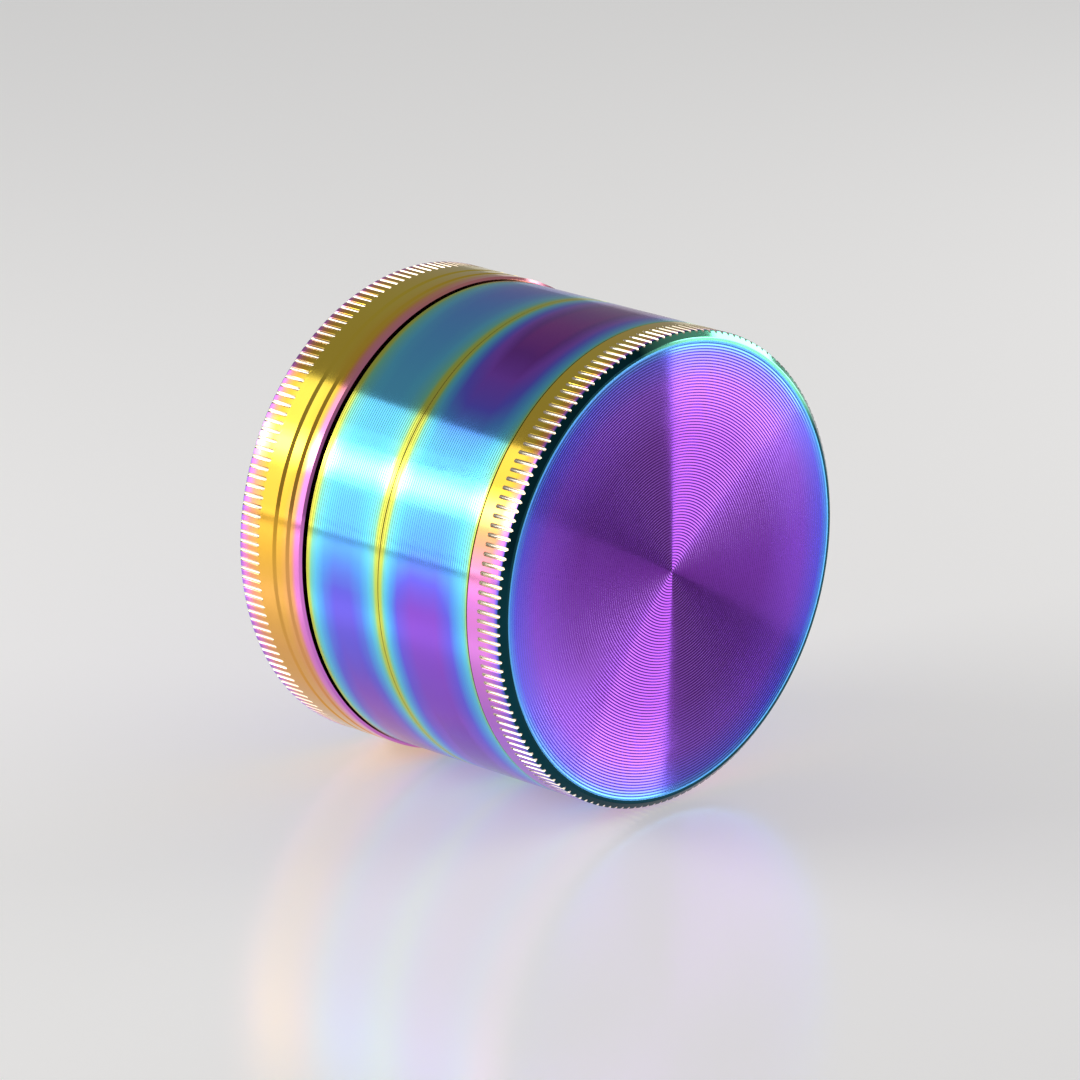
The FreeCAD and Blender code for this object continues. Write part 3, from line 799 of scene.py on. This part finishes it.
def floorTree(ringCount):
    # a flat ring between two circles, with rings of round holes through it
    sizes = {"Outer Radius": "Float", "Inner Radius": "Float", "Height": "Float"}
    sizes.update({"Hole Radius": "Float", "Hole Sides": "Int", "Material": "Material"})
    for i in range(ringCount):
        sizes[f"Ring {i}"] = "Float"
        sizes[f"Count {i}"] = "Int"
    tree, given = newTree("perforatedFloor", sizes)
    outlines = addNode(tree, "GeometryNodeJoinGeometry")
    for edge in ("Outer Radius", "Inner Radius"):
        circle = {"Resolution": columns, "Radius": given[edge]}
        rim = addNode(tree, "GeometryNodeCurvePrimitiveCircle", circle)
        tree.links.new(rim.outputs[0], outlines.inputs[0])
    hole = addNode(
        tree,
        "GeometryNodeCurvePrimitiveCircle",
        {"Resolution": given["Hole Sides"], "Radius": given["Hole Radius"]},
    )
    index = addNode(tree, "GeometryNodeInputIndex")
    for i in range(ringCount):
        count = given[f"Count {i}"]
        out = addNode(tree, "ShaderNodeCombineXYZ", {"X": given[f"Ring {i}"]})
        first = addNode(tree, "GeometryNodeTransform", {"Geometry": hole, "Translation": out})
        points = addNode(tree, "GeometryNodePoints", {"Count": count})
        step = addNode(tree, "ShaderNodeMath", {0: fullTurn, 1: count}, operation="DIVIDE")
        angle = addNode(tree, "ShaderNodeMath", {0: index, 1: step}, operation="MULTIPLY")
        spin = addNode(tree, "FunctionNodeAxisAngleToRotation", {"Axis": (0, 0, 1), "Angle": angle})
        copies = addNode(
            tree, "GeometryNodeInstanceOnPoints", {"Points": points, "Instance": first, "Rotation": spin}
        )
        plain = addNode(tree, "GeometryNodeRealizeInstances", {"Geometry": copies})
        tree.links.new(plain.outputs[0], outlines.inputs[0])
    sheet = addNode(tree, "GeometryNodeFillCurve", {"Curve": outlines})
    lift = addNode(tree, "ShaderNodeCombineXYZ", {"Z": given["Height"]})
    level = addNode(tree, "GeometryNodeTransform", {"Geometry": sheet, "Translation": lift})
    closeTree(tree, level, given["Material"])
    return tree


def holeWall(ring, top, foot):
    # the wall of one hole on the +X axis
    radius, sides = chamber["holeRadius"], chamber["holeSides"]
    turns = [fullTurn * i / sides for i in range(sides)]
    outline = [(ring + radius * math.cos(turn), radius * math.sin(turn)) for turn in turns]
    tube = bmesh.new()
    loops = [[tube.verts.new((x * mm, y * mm, z * mm)) for x, y in outline] for z in (foot, top)]
    for i in range(sides):
        j = (i + 1) % sides
        tube.faces.new((loops[0][i], loops[0][j], loops[1][j], loops[1][i]))
    mesh = bpy.data.meshes.new("holeWall")
    tube.to_mesh(mesh)
    tube.free()
    return mesh


def makeGrindingChamber():
    radius, end = cad["grinding_chamber"]["radius"], cad["grinding_chamber"]["foot"]
    seam = cad["sieve_chamber"]["top"]
    foot = seam + seat
    edge = radius - chamber["edge"]
    under = grindingFloor - chamber["floor"]
    bossTop, pocketFloor = cad["chamber_magnet"]["top"], cad["chamber_magnet"]["foot"] - seat
    coat = coats["chamber"]
    outside = [(spigotBore, under), (spigotBore, end)]
    outside += [(spigotRadius, end), (spigotRadius, foot), (edge, foot)]
    outside += markedWall(radius, foot + chamber["edge"], shoulder - chamber["edge"])
    outside += [(edge, shoulder), (neck, shoulder)]
    outside += [(neck, neckRim), (cavity, neckRim), (cavity, grindingFloor)]
    post = [(boss, grindingFloor), (boss, bossTop)]
    post += [(pocket, bossTop), (pocket, pocketFloor), (0.0, pocketFloor)]
    outerHoles = cavity - chamber["holeMargin"] - chamber["holeRadius"]
    holeRings = list(zip((ringRadius(1), ringRadius(3), outerHoles), chamber["holes"]))
    sizes = {"Inner Radius": boss * mm, "Hole Radius": chamber["holeRadius"] * mm, "Material": coat}
    sizes["Hole Sides"] = chamber["holeSides"]
    for i, (ring, count) in enumerate(holeRings):
        sizes[f"Ring {i}"] = ring * mm
        sizes[f"Count {i}"] = count
    plate = floorTree(len(holeRings))
    meshes = [swept(outside, coat), swept(post, coat), swept([(boss, under), (0.0, under)], coat)]
    for reach, height in ((cavity, grindingFloor), (spigotBore, under)):
        meshes.append(grow(plate, None, {**sizes, "Outer Radius": reach * mm, "Height": height * mm}))
    for ring, count in holeRings:
        meshes.append(repeated(holeWall(ring, grindingFloor, under), count, 0.0, coat))
    for number, count in chamber["teeth"].items():
        meshes.append(toothRing(number, count, grindingFloor, 1, coat))
    meshes.append(threadRidge(seam, spigotRadius, 1, coat))
    addPiece("grindingChamber", meshes, "grinding_section", "grinding_chamber")


lid = {
    "edge": 0.3,
    "gap": 0.6,  # open line between it and the grinding chamber
    "lines": (4.8, 2.4),  # turned lines, up from the rim
    "lineWidth": 0.7,
    "lineDepth": 0.35,
    "teeth": {1: 6, 3: 10},  # count by ring
}


def makeLid():
    radius, top = cad["lid"]["radius"], cad["lid"]["top"]
    rim = shoulder + lid["gap"]
    bossFoot, pocketTop = cad["lid_magnet"]["foot"], cad["lid_magnet"]["top"] + seat
    half = lid["lineWidth"] / 2
    rest = []
    for line in lid["lines"]:
        middle = rim + line
        rest += [(radius, middle + half), (radius - lid["lineDepth"], middle), (radius, middle - half)]
    rest += [(radius, rim + lid["edge"]), (radius - lid["edge"], rim), (skirt, rim), (skirt, ceiling)]
    rest += [(boss, ceiling), (boss, bossFoot), (pocket, bossFoot), (pocket, pocketTop), (0.0, pocketTop)]
    shell = gripShell(radius, [(r, top - z) for r, z in rest], coats["lid"])
    upend = Matrix.Translation((0, 0, top * mm)) @ Matrix.Scale(-1, 4, (0, 0, 1))
    meshes = [moved(mesh, upend) for mesh in shell]
    for number, count in lid["teeth"].items():
        meshes.append(toothRing(number, count, ceiling, -1, coats["lid"]))
    addPiece("lidShell", meshes, "lid_section", "lid")


makeTray()
makeSieveChamber()
makeGrindingChamber()
makeLid()
print("castings made")

cloth = {
    "trim": 0.12,  # cut short of the solid's edge
    "pitch": 1.0,  # coarser than a real cloth, so that the weave shows
    "wireRadius": 0.1,
    "wireSides": 5,
}


def clothTree():
    # two sets of wires that pass over and under each other, cut to a disc
    sizes = {"Radius": "Float", "Pitch": "Float", "Wire Radius": "Float", "Wire Sides": "Int"}
    sizes.update({"Steps": "Int", "Wires": "Int", "Height": "Float", "Material": "Material"})
    tree, given = newTree("wovenCloth", sizes)
    reach = addNode(tree, "ShaderNodeMath", {0: given["Steps"], 1: given["Pitch"]}, operation="MULTIPLY")
    ends = []
    for share in (-0.25, 0.25):  # two steps to a pitch
        end = addNode(tree, "ShaderNodeMath", {0: reach, 1: share}, operation="MULTIPLY")
        ends.append(addNode(tree, "ShaderNodeCombineXYZ", {"X": end}))
    line = addNode(tree, "GeometryNodeCurvePrimitiveLine", {"Start": ends[0], "End": ends[1]})
    count = addNode(tree, "ShaderNodeMath", {0: given["Steps"], 1: 1.0}, operation="ADD")
    wire = addNode(tree, "GeometryNodeResampleCurve", {"Curve": line, "Count": count})
    index = addNode(tree, "GeometryNodeInputIndex")
    last = addNode(tree, "ShaderNodeMath", {0: given["Wires"], 1: 1.0}, operation="SUBTRACT")
    middle = addNode(tree, "ShaderNodeMath", {0: last, 1: 0.5}, operation="MULTIPLY")
    number = addNode(tree, "ShaderNodeMath", {0: index, 1: middle}, operation="SUBTRACT")
    aside = addNode(tree, "ShaderNodeMath", {0: number, 1: given["Pitch"]}, operation="MULTIPLY")
    spot = addNode(tree, "ShaderNodeCombineXYZ", {"Y": aside})
    points = addNode(tree, "GeometryNodePoints", {"Count": given["Wires"], "Position": spot})
    rank = addNode(tree, "GeometryNodeInstanceOnPoints", {"Points": points, "Instance": wire})
    warp = addNode(tree, "GeometryNodeRealizeInstances", {"Geometry": rank})
    weft = addNode(tree, "GeometryNodeTransform", {"Geometry": warp, "Rotation": (0, 0, math.pi / 2)})
    position = addNode(tree, "GeometryNodeInputPosition")
    axes = addNode(tree, "ShaderNodeSeparateXYZ", {0: position}).outputs
    waves = []
    for axis in ("X", "Y"):
        crossing = addNode(tree, "ShaderNodeMath", {0: axes[axis], 1: given["Pitch"]}, operation="DIVIDE")
        phase = addNode(tree, "ShaderNodeMath", {0: crossing, 1: math.pi}, operation="MULTIPLY")
        waves.append(addNode(tree, "ShaderNodeMath", {0: phase}, operation="COSINE"))
    weave = addNode(tree, "ShaderNodeMath", {0: waves[0], 1: waves[1]}, operation="MULTIPLY")
    sway = addNode(tree, "ShaderNodeMath", {0: weave, 1: given["Wire Radius"]}, operation="MULTIPLY")
    fromAxis = addNode(tree, "ShaderNodeVectorMath", {0: position}, operation="LENGTH").outputs["Value"]
    outside = addNode(tree, "ShaderNodeMath", {0: fromAxis, 1: given["Radius"]}, operation="GREATER_THAN")
    section = addNode(
        tree,
        "GeometryNodeCurvePrimitiveCircle",
        {"Resolution": given["Wire Sides"], "Radius": given["Wire Radius"]},
    )
    both = addNode(tree, "GeometryNodeJoinGeometry")
    for wires, way in ((warp, 1.0), (weft, -1.0)):
        cut = addNode(tree, "GeometryNodeDeleteGeometry", {"Geometry": wires, "Selection": outside})
        swing = addNode(
            tree, "ShaderNodeMath", {0: sway, 1: way, 2: given["Height"]}, operation="MULTIPLY_ADD"
        )
        lift = addNode(tree, "ShaderNodeCombineXYZ", {"Z": swing})
        woven = addNode(tree, "GeometryNodeSetPosition", {"Geometry": cut, "Offset": lift})
        solid = addNode(
            tree, "GeometryNodeCurveToMesh", {"Curve": woven, "Profile Curve": section, "Fill Caps": True}
        )
        tree.links.new(solid.outputs[0], both.inputs[0])
    closeTree(tree, both, given["Material"])
    return tree


def makeWireCloth():
    screen = cad["sieve_screen"]
    radius = screen["radius"] - cloth["trim"]
    wires = 2 * int(radius / cloth["pitch"]) + 1
    sizes = {
        "Radius": radius * mm,
        "Pitch": cloth["pitch"] * mm,
        "Wire Radius": cloth["wireRadius"] * mm,
        "Wire Sides": cloth["wireSides"],
        "Steps": 2 * wires,
        "Wires": wires,
        "Height": (screen["foot"] + screen["top"]) / 2 * mm,
        "Material": wireSteel,
    }
    woven = grow(clothTree(), None, sizes)
    addPiece("wireCloth", [woven], "sieve_section", "sieve_screen")


makeWireCloth()

view = {  # the camera at the photo's angle, in degrees and millimetres
    "yaw": 46.1,
    "tilt": 17.64,
    "target": (-0.7, 0.6, 22.6),
    "distance": 775.0,
    "lens": 200.0,
    "sensor": 36.0,
    "clip": (50, 20000),
}
studio = {
    "floorColour": "#efedeb",
    "floorRoughness": 0.2,
    "floorGlow": 0.3,  # only for the camera and in reflections
    "floorReach": 3000,  # millimetres
    "worldGlow": 0.28,
}
softboxes = {  # millimetres right of, above and beyond the target, width and height, then radiance
    "leftSoftbox": (-430, 160, 0, 320, 380, 1.3),
    "leftStrip0": (-405, 165, 0, 320, 34, 5.0),  # three strips make one whose edges fade
    "leftStrip1": (-405, 165, 0, 320, 62, 3.0),
    "leftStrip2": (-405, 165, 0, 320, 96, 1.4),
    "rightSoftbox": (414, 76, 190, 410, 296, 3.2),
}
yaw, tilt = math.radians(view["yaw"]), math.radians(view["tilt"])
photoUp = Vector((0, -1, 0))
photoRight = Vector((math.cos(yaw), 0, -math.sin(yaw)))
photoAway = Vector((math.sin(yaw), 0, math.cos(yaw)))
target = Vector(view["target"]) * mm


def addCamera():
    forward = photoAway * math.cos(tilt) - photoUp * math.sin(tilt)
    up = photoUp * math.cos(tilt) + photoAway * math.sin(tilt)
    lens = bpy.data.cameras.new("photoCamera")
    lens.lens = view["lens"]
    lens.sensor_width = view["sensor"]
    lens.clip_start, lens.clip_end = (length * mm for length in view["clip"])
    camera = bpy.data.objects.new("photoCamera", lens)
    bpy.context.scene.collection.objects.link(camera)
    turn = Matrix((photoRight, up, -forward)).transposed().to_4x4()
    camera.matrix_world = Matrix.Translation(target - forward * view["distance"] * mm) @ turn
    bpy.context.scene.camera = camera


def addSoftbox(name, right, up, away, width, height, radiance):
    lamp = bpy.data.lights.new(name, "AREA")
    lamp.shape = "RECTANGLE"
    lamp.size, lamp.size_y = width * mm, height * mm
    lamp.energy = radiance * math.pi * lamp.size * lamp.size_y
    box = bpy.data.objects.new(name, lamp)
    bpy.context.scene.collection.objects.link(box)
    middle = target + (photoRight * right + photoUp * up + photoAway * away) * mm
    back = (middle - target).normalized()
    side = photoUp.cross(back).normalized()
    turn = Matrix((side, back.cross(side), back)).transposed().to_4x4()
    box.matrix_world = Matrix.Translation(middle) @ turn
    box.visible_camera = False


def paleBoard(name):
    # Painted board: pale, with a soft sheen. It is clear from below, so it hides nothing in other views.
    material, tree = newMaterial(name)
    board = addNode(
        tree,
        "ShaderNodeBsdfPrincipled",
        {"Base Color": hexColour(studio["floorColour"]), "Roughness": studio["floorRoughness"]},
    )
    path = addNode(tree, "ShaderNodeLightPath").outputs
    shown = path["Is Camera Ray"]
    for ray in ("Is Glossy Ray", "Is Transmission Ray"):
        shown = addNode(tree, "ShaderNodeMath", {0: shown, 1: path[ray]}, operation="MAXIMUM")
    glow = addNode(tree, "ShaderNodeMath", {0: shown, 1: studio["floorGlow"]}, operation="MULTIPLY")
    pale = addNode(tree, "ShaderNodeEmission", {"Strength": glow})
    lit = addNode(tree, "ShaderNodeAddShader", {0: board, 1: pale})
    clear = addNode(tree, "ShaderNodeBsdfTransparent")
    behind = addNode(tree, "ShaderNodeNewGeometry").outputs["Backfacing"]
    oneSided = addNode(tree, "ShaderNodeMixShader", {0: behind, 1: lit, 2: clear})
    addNode(tree, "ShaderNodeOutputMaterial", {"Surface": oneSided})
    return material


def addFloor():
    # the grinder lies on its side on it, on the lid's rim
    reach, drop = studio["floorReach"] * mm, cad["lid"]["radius"] * mm
    mesh = bpy.data.meshes.new("floor")
    corners = [(-reach, drop, -reach), (reach, drop, -reach), (reach, drop, reach), (-reach, drop, reach)]
    mesh.from_pydata(corners, [], [(0, 1, 2, 3)])
    mesh.materials.append(paleBoard("paleFloor"))
    floor = bpy.data.objects.new("floor", mesh)
    bpy.context.scene.collection.objects.link(floor)


def addWorld():
    world = bpy.data.worlds.new("studio")
    world.use_nodes = True
    tree = world.node_tree
    tree.nodes.clear()
    glow = addNode(tree, "ShaderNodeBackground", {"Color": (1, 1, 1, 1), "Strength": studio["worldGlow"]})
    addNode(tree, "ShaderNodeOutputWorld", {"Surface": glow})
    bpy.context.scene.world = world


addCamera()
addFloor()
addWorld()
for name, settings in softboxes.items():
    addSoftbox(name, *settings)
bpy.context.scene.view_settings.view_transform = "Standard"
print("stage set")
